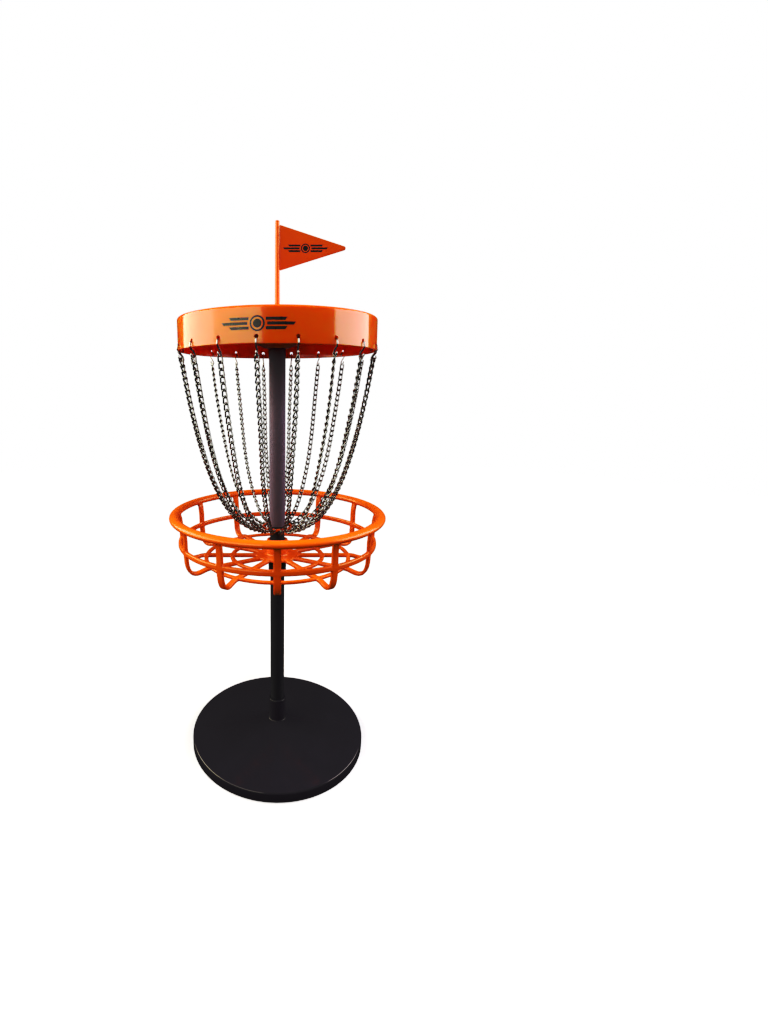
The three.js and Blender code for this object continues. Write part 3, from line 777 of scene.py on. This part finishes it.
def make_prints():
    def on_band(x, z):
        angle = math.radians(BAND_PRINT_DEG) + x / BAND_R
        r = (BAND_R + 0.05) * MM
        return (r * math.cos(angle), r * math.sin(angle), (BAND_PRINT_Z + z) * MM)

    def on_flag(x, z):
        return ((FLAG_PRINT_X + x) * MM, -(PENNANT_THICK / 2 + 0.04) * MM, (FLAG_PRINT_Z + z) * MM)

    band_print = printed("band_print", winged_disc(BAND_PRINT_WIDTH), on_band, 4)
    place(band_print, "stand", "gloss_orange", material=INK)
    flag_print = printed("flag_print", winged_disc(FLAG_PRINT_WIDTH), on_flag, 60)
    place(flag_print, "flag_pennant", "flag_orange", material=INK)


# ------------------------------------------------------------------ stage, light and camera
SOFTBOX_DISTANCE, SOFTBOX_HEIGHT, SOFTBOX_MID_Z = 1.25, 0.9, 0.89


def softbox(name, bearing_deg, width_deg, radiance, color):
    """An upright panel beside the object. bearing_deg is from the camera's side, positive to the left."""
    bearing = math.radians(bearing_deg)
    width = 2 * SOFTBOX_DISTANCE * math.tan(math.radians(width_deg / 2))
    data = bpy.data.lights.new(name, "AREA")
    data.shape = "RECTANGLE"
    data.size, data.size_y = width, SOFTBOX_HEIGHT
    data.energy = radiance * math.pi * width * SOFTBOX_HEIGHT
    data.color = color
    lamp = bpy.data.objects.new(name, data)
    lamp.location = (-SOFTBOX_DISTANCE * math.sin(bearing), -SOFTBOX_DISTANCE * math.cos(bearing),
                     SOFTBOX_MID_Z)
    lamp.rotation_euler = (math.pi / 2, 0, -bearing)
    lamp.visible_camera = False
    bpy.context.collection.objects.link(lamp)


def high_lamp(name, bearing_deg, elevation_deg, irradiance, spread_deg=40):
    """A far, soft lamp above the softboxes, at a bearing counted as theirs is. It leaves no highlights."""
    data = bpy.data.lights.new(name, "SUN")
    data.angle = math.radians(spread_deg)
    data.energy = irradiance
    data.color = (1.0, 0.96, 0.88)
    lamp = bpy.data.objects.new(name, data)
    lamp.rotation_euler = (math.radians(90 - elevation_deg), 0, -math.radians(bearing_deg))
    lamp.visible_glossy = False
    bpy.context.collection.objects.link(lamp)


def room_brightness(tree):
    """How bright the room looks in each direction: dim, and a little darker towards the back."""
    toward = tree.nodes.new("ShaderNodeSeparateXYZ")
    tree.links.new(tree.nodes.new("ShaderNodeTexCoord").outputs["Generated"], toward.inputs[0])
    ramp = tree.nodes.new("ShaderNodeMapRange")
    tree.links.new(toward.outputs["Y"], ramp.inputs["Value"])
    for key, value in (("From Min", -0.3), ("From Max", 0.4), ("To Min", 0.03), ("To Max", 0.02)):
        ramp.inputs[key].default_value = value
    return ramp.outputs["Result"]


def make_stage():
    make_floor()
    make_room()
    high_lamp("overhead_lamp", -20, 76, 1.9, spread_deg=24)
    high_lamp("left_high_lamp", 108, 42, 1.0)
    high_lamp("right_high_lamp", -108, 42, 1.2)
    softbox("left_front_softbox", 43.2, 54.4, 3.3, (1.0, 0.96, 0.74))
    softbox("left_rear_softbox", 97.6, 54.4, 5.4, (1.0, 0.96, 0.68))
    softbox("right_softbox", -90, 55, 4.9, (1.0, 0.95, 0.84))


def make_floor():
    """A pale floor that takes shadows near the foot and glows evenly white further out."""
    floor = revolve("floor", [(0.01, 0), (STAGE_R, 0)], 128, close=False)
    look = Look("pale_floor", (0.8, 0.81, 0.92), 0.9)
    look.tint(look.ramp(look.noise(3, 2), 0.3, 0.7, 0, 0.3), (0.77, 0.78, 0.88))
    reach = look.node("ShaderNodeVectorMath", {0: look.place}, operation="LENGTH").outputs["Value"]
    fade = look.ramp(reach, 0.15, 0.7, 0.3, 1)
    glow = look.node("ShaderNodeEmission", Strength=1.05)
    blend = look.node("ShaderNodeMixShader", {0: fade, 1: look.shader.outputs[0], 2: glow.outputs[0]})
    look.tree.links.new(blend.outputs[0], look.tree.nodes["Material Output"].inputs["Surface"])
    floor.data.materials.append(look.material)
    floor.visible_diffuse = floor.visible_glossy = False  # it neither lights the object nor mirrors in it


def make_room():
    """A dim room for the reflections, which the camera sees as plain white."""
    world = bpy.data.worlds.new("studio")
    bpy.context.scene.world = world
    world.use_nodes = True
    tree = world.node_tree
    seen = tree.nodes["Background"]
    seen.inputs["Color"].default_value = (1, 1, 1, 1)
    room = tree.nodes.new("ShaderNodeBackground")
    tree.links.new(room_brightness(tree), room.inputs["Color"])
    path = tree.nodes.new("ShaderNodeLightPath")
    pick = tree.nodes.new("ShaderNodeMixShader")
    tree.links.new(path.outputs["Is Camera Ray"], pick.inputs[0])
    tree.links.new(room.outputs[0], pick.inputs[1])
    tree.links.new(seen.outputs[0], pick.inputs[2])
    tree.links.new(pick.outputs[0], tree.nodes["World Output"].inputs["Surface"])


def make_camera():
    data = bpy.data.cameras.new("camera")
    data.sensor_width = 36
    data.lens = 16.855
    data.shift_x = 0.1042
    data.shift_y = -0.0352
    data.clip_start = 0.01
    camera = bpy.data.objects.new("camera", data)
    camera.location = (0, -0.5468, 0.4341)
    camera.rotation_euler = (math.radians(90 - 10.218), 0, 0)
    bpy.context.collection.objects.link(camera)
    bpy.context.scene.camera = camera


def make_grade():
    """Plain colours with a tone curve that deepens the shadows and lifts the middle a little."""
    view = bpy.context.scene.view_settings
    view.view_transform = "Standard"
    view.use_curve_mapping = True
    tones = view.curve_mapping.curves[3]
    for before, after in ((0.015, 0.009), (0.05, 0.02), (0.1, 0.052), (0.17, 0.15), (0.3, 0.33), (0.5, 0.53)):
        tones.points.new(before, after)
    view.curve_mapping.update()


def dress_cad_nodes():
    """Gives every CAD node its slot's material, which those that no piece replaces keep."""
    slots = {part["node"]: part["material_slot"] for part in frame["record"]["subparts"]}
    for node, obj in frame["nodes"].items():
        obj.data.materials.clear()
        obj.data.materials.append(MATERIALS[slots[node]])


make_camera()
make_grade()
make_stage()
dress_cad_nodes()
make_foot()
make_poles()
make_basket()
make_band()
make_hanging_parts()
make_flag()
make_prints()
